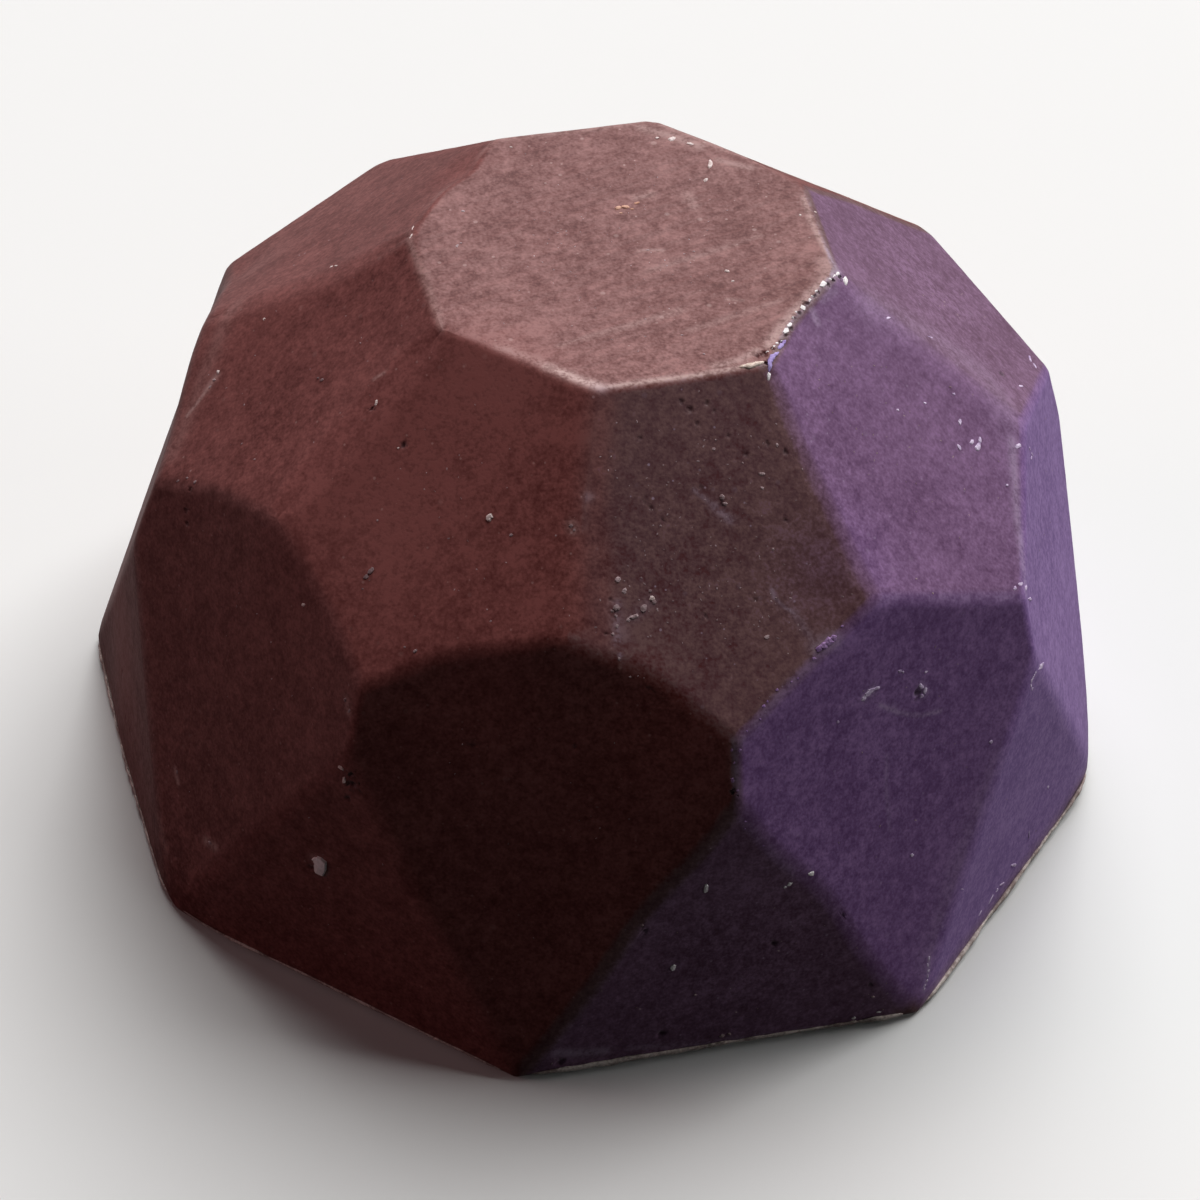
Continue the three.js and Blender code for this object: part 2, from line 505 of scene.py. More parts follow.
# The chocolate is a shade lighter or darker in broad patches, each set to the shade wanted there. Some of
# them are painted light and painted shade.
store("patch_and_painted_light", patches(0.0, [
    (0.40, 90, (375, 510)), (0.12, 60, (400, 380)), (-0.16, 45, (385, 275)), (0.12, 70, (930, 390)),
    (-0.12, 45, (265, 430)), (0.18, 80, (800, 575)), (-0.15, 60, (870, 560)), (-0.35, 45, (168, 880)),
    (0.12, 150, (470, 540)), (0.45, 50, (492, 368)), (0.15, 45, (545, 420)), (-0.07, 80, (310, 440)),
    # The two lighter patches on the facet that faces left are painted light, and the darker one low at the
    # left is painted shade.
    (0.55, 60, (122, 625)), (0.25, 60, (125, 710)), (-0.10, 90, (215, 765)),
]))

# The tint is coloured cocoa butter from an airbrush held to the right. How much of it landed goes by how
# squarely the shell faces the spray, softened where facets meet, and less of it landed in a few places.
TINT_FROM = np.array([0.985, -0.174, 0.0])
SPRAY_SOFTNESS = 0.14
depths = (points - wander(points)) @ normals.T - offsets
reach = np.clip(depths - depths.max(axis=1, keepdims=True) + SPRAY_SOFTNESS, 0, None)
softened = reach @ normals
softened /= np.linalg.norm(softened, axis=1)[:, None]
BARE_SHARE = 0.45
BARE_WIDTH = 0.55
bare_foot = band([heel[1], heel[2]], BARE_WIDTH)
thin = patches(0.0, [
    (-0.05, 45, (640, 668)), (-0.30, 26, (574, 600)), (-0.30, 17, (581, 552)), (0.10, 55, (825, 568)),
])
store("spray", softened @ TINT_FROM + thin - BARE_SHARE * bare_foot)

# Along its left edge the film feathers out, so it is half there on both sides of the edge.
FILM_EDGE = [(602, 402), (595, 480), (596, 560), (600, 635)]
FEATHER_WIDTH = 0.4
feather_path = [spot(x, y)[0] for x, y in FILM_EDGE]
store("feather", band(feather_path, FEATHER_WIDTH))


def add_node(tree, kind, sockets=None, **settings):
    """A shader node with its settings, and its sockets filled by a value or by another node's socket."""
    node = tree.nodes.new("ShaderNode" + kind)
    for name, value in settings.items():
        setattr(node, name, value)
    for name, source in (sockets or {}).items():
        if isinstance(source, bpy.types.NodeSocket):
            tree.links.new(source, node.inputs[name])
        else:
            node.inputs[name].default_value = source
    return node


def calc(tree, operation, *values, clamp=False):
    """The result of a sum on numbers and sockets."""
    return add_node(tree, "Math", dict(enumerate(values)), operation=operation, use_clamp=clamp).outputs[0]


def blend(tree, share, first, second):
    """A colour on the way from the first colour to the second."""
    return add_node(tree, "Mix", {0: share, 6: first, 7: second}, data_type="RGBA").outputs[2]


def ramp(tree, value, low, high, to_low=0.0, to_high=1.0, smooth=True):
    """A value stretched from one range to another, and held at its ends."""
    sockets = {"Value": value, "From Min": low, "From Max": high, "To Min": to_low, "To Max": to_high}
    style = "SMOOTHSTEP" if smooth else "LINEAR"
    return add_node(tree, "MapRange", sockets, interpolation_type=style).outputs["Result"]


def new_group(name, inputs, outputs):
    """An empty node group with number sockets, its inner input sockets, and its output node."""
    group = bpy.data.node_groups.new(name, "ShaderNodeTree")
    for label, value in inputs.items():
        socket = group.interface.new_socket(label, in_out="INPUT", socket_type="NodeSocketFloat")
        socket.default_value = value
    for label in outputs:
        group.interface.new_socket(label, in_out="OUTPUT", socket_type="NodeSocketFloat")
    given = group.nodes.new("NodeGroupInput")
    result = group.nodes.new("NodeGroupOutput")
    return group, given.outputs, result.inputs


def in_millimetres(tree):
    """Where a surface point is, in millimetres."""
    place = add_node(tree, "TexCoord").outputs["Object"]
    return add_node(tree, "VectorMath", {0: place, "Scale": 1 / MM}, operation="SCALE").outputs["Vector"]


def clouds(tree, place, size, detail=2.0, roughness=0.55):
    """Soft noise with features of a size in millimetres."""
    sockets = {"Vector": place, "Scale": 1 / size, "Detail": detail, "Roughness": roughness}
    return add_node(tree, "TexNoise", sockets).outputs["Fac"]


# Fat crystals in the surface give grain of several sizes, finest first, over a broader mottle.
GRAIN_SIZES = {"Fine": 0.085, "Middle": 0.22, "Coarse": 0.6, "Blotches": 1.9}
grain_group, given, result = new_group("satin_grain", dict.fromkeys(GRAIN_SIZES, 0.4), ["Mottle", "Height"])
place = in_millimetres(grain_group)
grains = 0.5
for label, size in GRAIN_SIZES.items():
    swing = calc(grain_group, "SUBTRACT", clouds(grain_group, place, size, detail=1.0), 0.5)
    grains = calc(grain_group, "MULTIPLY_ADD", swing, given[label], grains)
    if label == "Middle":
        grain_group.links.new(grains, result["Height"])
grain_group.links.new(grains, result["Mottle"])

# Specks and pinholes: one in some of the cells of a foam, where the cell's own random number allows it. A
# second random number sets its radius, from a third of the given size upwards, and its edge is soft.
SMALLEST = 0.3
DOT_EDGE = (1.2, 0.6)
speck_group, given, result = new_group("specks", {"Spacing": 1.0, "Size": 0.05, "Share": 0.3}, ["Mask"])
place = in_millimetres(speck_group)
finer = calc(speck_group, "DIVIDE", 1.0, given["Spacing"])
foam = add_node(speck_group, "TexVoronoi", {"Vector": place, "Scale": finer})
draw = add_node(speck_group, "SeparateColor", {"Color": foam.outputs["Color"]})
distance = calc(speck_group, "MULTIPLY", foam.outputs["Distance"], given["Spacing"])
present = calc(speck_group, "LESS_THAN", draw.outputs[0], given["Share"])
radius = calc(speck_group, "MULTIPLY", given["Size"], calc(speck_group, "ADD", draw.outputs[1], SMALLEST))
dot = ramp(speck_group, calc(speck_group, "DIVIDE", distance, radius), *DOT_EDGE)
speck_group.links.new(calc(speck_group, "MULTIPLY", dot, present), result["Mask"])


def use_group(tree, group, sockets=None):
    """The outputs of a node group placed in a material."""
    return add_node(tree, "Group", sockets, node_tree=group).outputs


def kept(tree, name):
    """The value that the shell keeps under a name."""
    return add_node(tree, "Attribute", attribute_name=name).outputs["Fac"]


# Each finish runs from a deep colour to a pale one with the grain. Dry dust, worn edges with some painted
# highlights, and painted shade in the pits lie over it.
CHOCOLATE_DEEP = (0.0806, 0.0055, 0.0035, 1)
CHOCOLATE_PALE = (0.2430, 0.0733, 0.0662, 1)
FILM_DEEP = (0.0730, 0.0190, 0.0285, 1)
FILM_PALE = (0.1780, 0.0880, 0.0860, 1)
TINT_DEEP = (0.1360, 0.0455, 0.2517, 1)
TINT_PALE = (0.3026, 0.1566, 0.4259, 1)
WORN_AND_HIGHLIT_CHOCOLATE = (0.66, 0.46, 0.43, 1)
WORN_AND_HIGHLIT_TINT = (0.56, 0.44, 0.60, 1)
PAINTED_SHADE_COLOUR = (0.035, 0.014, 0.020, 1)
GRAIN_STRENGTHS = {"Fine": 0.52, "Middle": 0.50, "Coarse": 0.34, "Blotches": 0.25}
TABLE_FACING = (0.9, 0.99)

finish = bpy.data.materials.new("dark_chocolate")
finish.use_nodes = True
tree = finish.node_tree
shader = tree.nodes["Principled BSDF"]
place = in_millimetres(tree)
facing_up = add_node(tree, "SeparateXYZ", {0: add_node(tree, "TexCoord").outputs["Normal"]}).outputs["Z"]
on_table = ramp(tree, facing_up, *TABLE_FACING)
coarseness = kept(tree, "coarseness")
strengths = {
    label: calc(tree, "MULTIPLY", coarseness, strength) for label, strength in GRAIN_STRENGTHS.items()
}
grain = use_group(tree, grain_group, strengths)

# Where the spray only grazed the shell it left a thin greyish film, and it thickens to violet where the
# shell faces it.
FILM_STARTS, FILM_FULL = 0.20, 0.32
TINT_STARTS, TINT_FULL = 0.39, 0.97
TINT_BREAKUP = 0.22
broken = calc(
    tree, "MULTIPLY_ADD", calc(tree, "SUBTRACT", grain["Mottle"], 0.5), TINT_BREAKUP, kept(tree, "spray")
)
sprayed = ramp(tree, broken, FILM_STARTS, FILM_FULL, smooth=False)
film = calc(tree, "MULTIPLY_ADD", calc(tree, "SUBTRACT", 0.5, sprayed), kept(tree, "feather"), sprayed)
cover = ramp(tree, broken, TINT_STARTS, TINT_FULL, smooth=False)

# The table was wiped while soft, which left faint strokes across it.
STROKE_FROM, STROKE_TO = spot(560, 345)[0], spot(760, 280)[0]
STROKE_LENGTH = 2.6
STROKE_WIDTH = 0.17
STROKE_STRENGTH = 0.3
stroke_turn = np.arctan2(*(STROKE_TO - STROKE_FROM)[1::-1])
stroke_sockets = {"Vector": place, "Rotation": (0, 0, -stroke_turn)}
stroke_place = add_node(tree, "Mapping", stroke_sockets, vector_type="POINT").outputs[0]
stroke_scale = (1 / STROKE_LENGTH, 1 / STROKE_WIDTH, 1)
stretched = add_node(tree, "VectorMath", {0: stroke_place, 1: stroke_scale}, operation="MULTIPLY").outputs[0]
strokes = clouds(tree, stretched, 1.0, roughness=0.5)
stroke_share = calc(tree, "MULTIPLY", on_table, STROKE_STRENGTH)
stroke_tone = calc(tree, "MULTIPLY", calc(tree, "SUBTRACT", strokes, 0.5), stroke_share)
streaked = calc(tree, "ADD", grain["Mottle"], stroke_tone)

# The grain's tone leans to the deep colour, and the broad patches, partly painted light and shade, shift it.
GRAIN_RANGE = (0.16, 0.84)
TONE_POWER = 1.35
TONE_GAIN = 1.27
grain_tone = calc(tree, "POWER", ramp(tree, streaked, *GRAIN_RANGE, smooth=False), TONE_POWER)
tone = calc(tree, "MULTIPLY_ADD", grain_tone, TONE_GAIN, kept(tree, "patch_and_painted_light"), clamp=True)
bare = blend(tree, tone, CHOCOLATE_DEEP, CHOCOLATE_PALE)
hazy = blend(tree, tone, FILM_DEEP, FILM_PALE)
violet = blend(tree, tone, TINT_DEEP, TINT_PALE)
colour = blend(tree, cover, blend(tree, film, bare, hazy), violet)
worn_and_highlit_colour = blend(tree, film, WORN_AND_HIGHLIT_CHOCOLATE, WORN_AND_HIGHLIT_TINT)

# Fine specks lie thicker where the skin is dusty, and larger flecks thicker on the table.
SPECKS = {"Spacing": 0.32, "Size": 0.034, "Share": 0.5}
SPECKS_EVERYWHERE, SPECKS_IN_DUST = 0.10, 0.30
FLECKS = {"Spacing": 0.62, "Size": 0.075, "Share": 0.6}
FLECKS_EVERYWHERE, FLECKS_ON_TABLE = 0.06, 0.16
specks = use_group(tree, speck_group, SPECKS)["Mask"]
speck_strength = calc(tree, "MULTIPLY_ADD", kept(tree, "dustiness"), SPECKS_IN_DUST, SPECKS_EVERYWHERE)
speck_share = calc(tree, "MULTIPLY", specks, speck_strength)
flecks = use_group(tree, speck_group, FLECKS)["Mask"]
fleck_strength = calc(tree, "MULTIPLY_ADD", on_table, FLECKS_ON_TABLE, FLECKS_EVERYWHERE)
fleck_share = calc(tree, "MULTIPLY", flecks, fleck_strength)
colour = blend(tree, calc(tree, "MAXIMUM", speck_share, fleck_share), colour, worn_and_highlit_colour)

# Wear and the painted highlights catch the paler grains first. Pits and pinholes get painted shade inside.
PINHOLES = {"Spacing": 1.1, "Size": 0.028, "Share": 0.4}
PIT_SHADE = 0.65
PINHOLE_SHADE = 0.5
WEAR_AND_HIGHLIGHT_GRAIN = (0.3, 0.6)
LEAST_WEAR_AND_HIGHLIGHT = 0.4
wear_and_highlight_on_grain = ramp(tree, grain["Mottle"], *WEAR_AND_HIGHLIGHT_GRAIN, to_low=LEAST_WEAR_AND_HIGHLIGHT)
worn_and_highlit = calc(tree, "MULTIPLY", kept(tree, "wear_and_highlight"), wear_and_highlight_on_grain, clamp=True)
colour = blend(tree, worn_and_highlit, colour, worn_and_highlit_colour)
pinholes = use_group(tree, speck_group, PINHOLES)["Mask"]
painted_pit_shade_share = calc(tree, "MULTIPLY", kept(tree, "painted_pit_shade"), PIT_SHADE)
hollow = calc(tree, "MAXIMUM", painted_pit_shade_share, calc(tree, "MULTIPLY", pinholes, PINHOLE_SHADE))
colour = blend(tree, hollow, colour, PAINTED_SHADE_COLOUR)
tree.links.new(colour, shader.inputs["Base Color"])

# The skin is satin, glossier on its paler grains, with a trace of sheen from the fine dust.
ROUGHEST, SMOOTHEST = 0.593, 0.433
SATIN_GRAIN = (0.3, 0.7)
GRAIN_RELIEF = 0.006
SHINE = 0.233
SHEEN = 0.118
satin = ramp(tree, grain["Mottle"], *SATIN_GRAIN, ROUGHEST, SMOOTHEST)
tree.links.new(satin, shader.inputs["Roughness"])
relief = calc(tree, "SUBTRACT", grain["Height"], hollow)
bump = add_node(tree, "Bump", {"Height": relief, "Distance": GRAIN_RELIEF * MM, "Strength": 1.0})
tree.links.new(bump.outputs["Normal"], shader.inputs["Normal"])
shader.inputs["Specular IOR Level"].default_value = SHINE
shader.inputs["Sheen Weight"].default_value = SHEEN
shader.inputs["Sheen Roughness"].default_value = 0.5
shell.data.materials.append(finish)

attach(shell, "root")
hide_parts("bonbon")


# Crumbs of pale chocolate cling to the skin, knocked off the rim and the mould. Each is a low chip with
# broken sides, pressed flat on the shell, and larger ones lie in small clusters.
CHIP_SIDES = 8
CHIP_SINK = 0.6
CHIP_RISE = 0.14
CHIP_SPOKES = (0.65, 1.1)
CHIP_TOP = (0.5, 0.85)
SCRATCH_CHIP = (2.5, 6)
SCRATCH_GAP = (3, 8)
SCRATCH_STRAY = 0.4
SCRATCH_TURN = 12
rng = np.random.default_rng(12)


def chip_on(start, end, facing_out, width):
    """Points and faces of a chip that lies on the shell from one point to another."""
    middle, way = (start + end) / 2, (end - start) / 2
    sideways = np.cross(way, facing_out)
    sideways *= width / 2 / np.linalg.norm(sideways)
    rise = CHIP_RISE * width * facing_out
    turns = (np.arange(CHIP_SIDES) + rng.uniform(-0.3, 0.3, CHIP_SIDES)) * 2 * pi / CHIP_SIDES
    spokes = np.cos(turns)[:, None] * way + np.sin(turns)[:, None] * sideways
    spokes *= rng.uniform(*CHIP_SPOKES, CHIP_SIDES)[:, None]
    foot_ring = middle + spokes - CHIP_SINK * rise
    top_ring = middle + rng.uniform(*CHIP_TOP) * spokes
    top_ring = top_ring + rng.uniform(0.5, 1.0, CHIP_SIDES)[:, None] * rise
    peak = middle + rng.uniform(-0.2, 0.2) * way + 1.1 * rise
    faces = [tuple(reversed(range(CHIP_SIDES)))]
    for side in range(CHIP_SIDES):
        following = (side + 1) % CHIP_SIDES
        faces.append((side, following, CHIP_SIDES + following, CHIP_SIDES + side))
        faces.append((CHIP_SIDES + side, CHIP_SIDES + following, 2 * CHIP_SIDES))
    return np.concatenate([foot_ring, top_ring, [peak]]), faces


def chip(x, y, length, width, turn=0.0):
    """A chip at a spot of the picture: its length and width in pixels, turned anticlockwise from level."""
    reach_x, reach_y = length / 2 * cos(radians(turn)), -length / 2 * sin(radians(turn))
    start, end = spot(x - reach_x, y - reach_y)[0], spot(x + reach_x, y + reach_y)[0]
    return chip_on(start, end, spot(x, y)[1], width * PIXEL)


def chips(rows):
    """Chips from rows of picture numbers: across, down, length, width and, unless it is level, turn."""
    return [chip(*row) for row in rows]


def scratch(line, width):
    """A broken row of small chips that follows a line of picture spots."""
    broken_row = []
    for (x, y), (next_x, next_y) in zip(line[:-1], line[1:]):
        run = np.hypot(next_x - x, next_y - y)
        turn = np.degrees(np.arctan2(y - next_y, next_x - x))
        gone = rng.uniform(0, 3)
        while gone < run:
            share = gone / run
            at_x = x + share * (next_x - x) + rng.normal(0, SCRATCH_STRAY)
            at_y = y + share * (next_y - y) + rng.normal(0, SCRATCH_STRAY)
            length = rng.uniform(*SCRATCH_CHIP)
            breadth = width * rng.uniform(0.5, 1)
            broken_row.append(chip(at_x, at_y, length, breadth, turn + rng.normal(0, SCRATCH_TURN)))
            gone += rng.uniform(*SCRATCH_GAP)
    return broken_row


def cling(name, parts, finish, smooth=False):
    """One piece made of many small parts that sit on the shell."""
    points, faces, total = [], [], 0
    for part_points, part_faces in parts:
        points.append(part_points)
        faces += [[total + corner for corner in face] for face in part_faces]
        total += len(part_points)
    piece = new_piece(name, np.concatenate(points), faces)
    if not smooth:
        piece.data.shade_flat()
    piece.data.materials.append(finish)
    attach(piece, "root")


CRUMB_GRAIN = (0.35, 0.65)
CRUMB_RELIEF = 0.01


def crumbly_finish(name, deep, pale):
    """A dry broken finish that runs from a deep colour to a pale one in grains."""
    finish = bpy.data.materials.new(name)
    finish.use_nodes = True
    tree = finish.node_tree
    shader = tree.nodes["Principled BSDF"]
    grain = use_group(tree, grain_group)
    tone = ramp(tree, grain["Mottle"], *CRUMB_GRAIN)
    tree.links.new(blend(tree, tone, deep, pale), shader.inputs["Base Color"])
    relief = {"Height": grain["Height"], "Distance": CRUMB_RELIEF * MM, "Strength": 1.0}
    bump = add_node(tree, "Bump", relief)
    tree.links.new(bump.outputs["Normal"], shader.inputs["Normal"])
    shader.inputs["Roughness"].default_value = 0.75
    shader.inputs["Specular IOR Level"].default_value = 0.3
    return finish


PALE_CRUMBS = [
    (489, 518, 11, 9, 60), (264, 319, 5, 4, 45), (399, 448, 5, 3), (376, 403, 9, 4, 85),
    (331, 267, 6, 4, 30), (336, 266, 5, 4), (218, 372, 6, 6, 40), (672, 139, 11, 7, 20),
    (657, 138, 5, 4), (690, 144, 12, 5, -5), (710, 164, 10, 5, 80), (706, 180, 6, 5, 60),
    (727, 271, 8, 5), (733, 281, 5, 3), (413, 228, 6, 3, 70), (411, 236, 7, 3, 60), (511, 147, 5, 3),
    (800, 215, 4, 4), (815, 212, 4, 4), (652, 598, 8, 7, 40), (341, 768, 11, 6, -45),
    (344, 780, 8, 5, 80), (303, 605, 6, 4, 10),
]
pale_crumb = crumbly_finish("pale_crumb", deep=(0.50, 0.38, 0.36, 1), pale=(0.86, 0.73, 0.71, 1))
cling("pale_crumbs", chips(PALE_CRUMBS), pale_crumb)


# Crumbs on the tinted side are of the same pale chocolate, and lie in clusters and in three scratches.
# They took some of the spray, so they are lilac.
LILAC_CRUMBS = [
    (960, 422, 10, 5, 90), (959, 447, 11, 5, -65), (972, 442, 7, 5, 30), (978, 447, 10, 8, 60),
    (980, 440, 7, 5, 80), (1018, 446, 8, 6, 30), (1030, 599, 5, 4), (1007, 485, 4, 3),
    (888, 318, 6, 3, 20), (930, 337, 12, 3, -20), (1030, 359, 9, 4, -75), (1035, 366, 8, 4, -60),
    (1021, 386, 5, 3), (1041, 666, 8, 6, 40), (1048, 787, 6, 5, 70), (991, 742, 5, 4),
    (1014, 865, 6, 5), (1002, 884, 7, 4, 30), (997, 890, 6, 4, 60), (991, 899, 12, 3, 65),
    (980, 913, 8, 4, 60), (1029, 835, 11, 3, 90), (903, 672, 4, 4), (838, 722, 4, 4), (912, 855, 4, 4),
    (962, 889, 5, 3), (898, 410, 4, 3), (954, 394, 4, 3), (925, 403, 4, 3), (864, 698, 12, 6, 60),
    (868, 693, 13, 7, 45), (872, 690, 13, 6, 25), (877, 688, 8, 5, 10), (921, 686, 9, 6, -30),
    (925, 691, 10, 6, 80), (922, 696, 6, 5, 30), (900, 671, 5, 4), (926, 672, 5, 3, 30),
    (1015, 588, 8, 5, 70), (1020, 584, 8, 5, 10), (1026, 588, 8, 5, 80), (1021, 593, 9, 5, 0),
]
SCRATCH_WIDTH = 4
SCRATCHES = [
    [(1037, 671), (1031, 680), (1032, 691)],
    [(929, 957), (928, 974), (924, 990)],
    [(1029, 447), (1033, 455), (1029, 462)],
]
lilac_crumbs = chips(LILAC_CRUMBS)
for line in SCRATCHES:
    lilac_crumbs += scratch(line, SCRATCH_WIDTH)
lilac_crumb = crumbly_finish("lilac_crumb", deep=(0.42, 0.30, 0.48, 1), pale=(0.80, 0.66, 0.86, 1))
cling("lilac_crumbs", lilac_crumbs, lilac_crumb)


# Duller specks are chocolate dust rubbed into the skin in handling. The larger ones are placed, and the
# finest are scattered all over, most of them on the facets that the picture shows dusty.
DUSTY_SPECKS = [
    (654, 602, 9, 7, 20), (643, 608, 10, 7, 50), (634, 617, 15, 6, 15), (628, 620, 6, 5, 40),
    (618, 580, 9, 6, 80), (616, 608, 9, 8, 60), (625, 590, 6, 5), (650, 591, 5, 4),
    (722, 497, 9, 7, 60), (725, 504, 8, 7), (762, 474, 11, 4, 5), (762, 488, 6, 4),
    (767, 637, 8, 4, 40), (366, 577, 8, 5, 30), (371, 571, 11, 6, 50), (511, 535, 5, 4),
    (415, 651, 7, 5, 20), (177, 772, 5, 3, 80), (210, 843, 6, 4, -30), (214, 380, 5, 4),
    (210, 387, 5, 3, 60), (322, 380, 5, 5), (318, 378, 3, 3), (612, 611, 5, 4), (616, 616, 4, 4),
    (624, 592, 5, 4), (617, 626, 5, 3, 80), (613, 634, 5, 4, 70), (619, 659, 5, 3, -80),
    (630, 677, 4, 3), (714, 449, 5, 4), (777, 445, 4, 4), (773, 549, 4, 4), (571, 526, 5, 4),
    (574, 530, 4, 3), (642, 925, 5, 4), (695, 995, 4, 4), (873, 997, 5, 4), (722, 1036, 7, 6),
    (729, 1034, 6, 4), (345, 700, 6, 5, 85), (349, 711, 6, 4, 60), (178, 481, 5, 3, 20),
    (187, 478, 4, 3), (195, 482, 5, 4, 40), (457, 246, 6, 4, 60), (461, 243, 4, 3), (463, 211, 5, 4),
    (648, 250, 6, 2), (704, 354, 4, 3), (682, 335, 4, 2),
]
SCATTERED = {
    "table": 80,
    ("shoulder", 0.5): 150,
    ("shoulder", 1.5): 45,
    ("shoulder", 7.5): 30,
    ("foot", 0.5): 30,
}
SCATTERED_ELSEWHERE = {"side": 14, "shoulder": 24, "foot": 6}
SPECK_HALF_LENGTHS = (0.015, 0.055)
SPECK_WIDTHS = (0.025, 0.06)
TOWARDS_CORNERS = 0.7


def nearest_on_shell(point):
    """The point of the shell nearest to a point, and the way that the shell faces there."""
    found, place, facing_out, face = shell.closest_point_on_mesh(Vector(point * MM))
    return np.array(place) / MM, np.array(facing_out)


dusty_specks = chips(DUSTY_SPECKS)
for name, polygon in facets.items():
    for _ in range(SCATTERED.get(name, SCATTERED_ELSEWHERE.get(name[0], 0))):
        on_facet = rng.dirichlet(np.full(len(polygon), TOWARDS_CORNERS)) @ np.array(polygon)
        way = np.cross(rng.normal(size=3), planes[name][0])
        way *= rng.uniform(*SPECK_HALF_LENGTHS) / np.linalg.norm(way)
        middle, facing_out = nearest_on_shell(on_facet)
        dusty_specks.append(chip_on(middle - way, middle + way, facing_out, rng.uniform(*SPECK_WIDTHS)))
dusty_speck = crumbly_finish("dusty_speck", deep=(0.18, 0.11, 0.115, 1), pale=(0.44, 0.32, 0.335, 1))
cling("dusty_specks", dusty_specks, dusty_speck)


# The spray spattered over the edges of its facets, in small dots of tinted cocoa butter that dried as
# they fell: spot, size and turn. One larger smear of it hardened on an edge.
SPATTER_SPREAD = 2
DOT_LENGTH, DOT_WIDTH = 0.8, 0.6
SPATTER = [
    ((740, 743), 7, 50), ((747, 733), 4, 20), ((766, 708), 8, 40), ((771, 703), 4, 70),
    ((797, 676), 4, 60), ((733, 762), 4, 90), ((735, 779), 8, 80), ((744, 823), 5, 10),
    ((762, 846), 4, 0), ((738, 792), 5, 80), ((757, 722), 5, 0), ((781, 691), 6, 30),
    ((790, 683), 4, 20), ((812, 658), 7, 10), ((733, 749), 5, 80), ((745, 829), 4, 20),
    ((841, 628), 5, 10),
]
SMEAR = [(819, 649, 12, 8, 40), (824, 646, 16, 10, 35), (829, 642, 15, 10, 30), (834, 638, 10, 7, 40)]
tint_spatter = []
for (x, y), size, turn in SPATTER:
    at_x, at_y = x + rng.normal(0, SPATTER_SPREAD), y + rng.normal(0, SPATTER_SPREAD)
    tint_spatter.append(chip(at_x, at_y, DOT_LENGTH * size, DOT_WIDTH * size, turn))
tint_spatter += chips(SMEAR)
spatter_finish = crumbly_finish("tint_spatter", deep=(0.20, 0.10, 0.26, 1), pale=(0.36, 0.21, 0.42, 1))
cling("tint_spatter", tint_spatter, spatter_finish)


# Where the rim was knocked on the tinted side, its broken edge shows as a row of bright beads of fresh
# chocolate between notches.
RIM_BEADS = [
    (838, 273, 12, 8, 50), (845.5, 281, 12, 7, 85), (823, 284, 10, 6, 42), (830, 279, 4, 3, 20),
    (809.5, 300, 6, 4, 60), (803, 308, 8, 6, -60), (796, 312, 4, 3), (789.5, 325, 8, 5, 48),
    (786, 331, 8, 6, 60), (782, 339, 8, 5, 50), (774, 347, 7, 5, 45), (777, 343, 4, 3),
    (769, 376, 12, 5, 88), (816, 291, 4, 3, 40), (793, 318, 3, 3), (834, 276, 5, 3, 40),
    (767, 352, 4, 3), (812, 296, 3, 3),
]
# This near-white finish is also put on the white crumbs below, where its paleness is partly painted light.
fresh_break_and_painted_light = crumbly_finish("fresh_break_and_painted_light", deep=(0.80, 0.74, 0.74, 1), pale=(0.95, 0.90, 0.92, 1))
cling("rim_beads", chips(RIM_BEADS), fresh_break_and_painted_light)


# A round white crumb is stuck low down at the left, and a few small ones low down at the front. They are
# freshly broken too, and share the near-white finish of the beads; on them its paleness is partly painted
# light, making up for the shade they lie in.
WHITE_CRUMBS = [
    (319.5, 866, 21, 17, 75), (316, 860, 10, 9, 20), (706, 889, 12, 5, 85), (811, 874, 8, 6),
    (790, 884, 8, 5, 30), (785, 887, 4, 4), (673, 968, 8, 7, 80), (854, 1018, 6, 4), (879, 1012, 6, 3),
]
cling("white_crumbs", chips(WHITE_CRUMBS), fresh_break_and_painted_light)


# Beside the beads a bar of paler chocolate lies bare along the knocked rim. It is a low lumpy strip that
# follows the shell, as the drips of tint and the burr of the foot are.
STRIP_SIDES = 8
STRIP_SINK = 0.4
LUMP_SHARE = 0.6
LUMP_SIZE = 0.7


def lumpy_strip(places, width, height):
    """Points and faces of a low closed strip over places of the shell, lumpy and tapering at both ends."""
    centres = np.array([centre for centre, facing_out in places])
    ways = np.gradient(centres, axis=0)
    ways /= np.linalg.norm(ways, axis=1)[:, None]
    swell = np.sin(np.linspace(0, pi, len(places)))
    points = []
    for (centre, facing_out), way, size in zip(places, ways, swell):
        sideways = np.cross(way, facing_out)
        for turn in np.linspace(0, 2 * pi, STRIP_SIDES, endpoint=False):
            above = sin(turn) * height
            if above < 0:
                above *= STRIP_SINK
            offset = size * (cos(turn) * width / 2 * sideways + above * facing_out)
            lump = 1 + LUMP_SHARE * noise.noise(Vector((centre + offset) / (LUMP_SIZE * width)))
            points.append(centre + lump * offset)
    faces = []
    for ring in range(len(places) - 1):
        for side in range(STRIP_SIDES):
            following = (side + 1) % STRIP_SIDES
            start, end = ring * STRIP_SIDES, (ring + 1) * STRIP_SIDES
            faces.append((start + side, start + following, end + following, end + side))
    return np.array(points), faces


def crowded(count):
    """Steps from 0 to 1 that crowd towards both ends."""
    return (1 - np.cos(np.linspace(0, pi, count))) / 2


def streak(line, width, rise=0.3):
    """A raised strip that follows a line of picture spots, with more rings the more spots it has."""
    line = np.array(line, dtype=float)
    lengths = np.append(0, np.cumsum(np.linalg.norm(np.diff(line, axis=0), axis=1)))
    steps = crowded(9 + 4 * len(line)) * lengths[-1]
    spots = zip(np.interp(steps, lengths, line[:, 0]), np.interp(steps, lengths, line[:, 1]))
    return lumpy_strip([spot(x, y) for x, y in spots], width * PIXEL, rise * width * PIXEL)


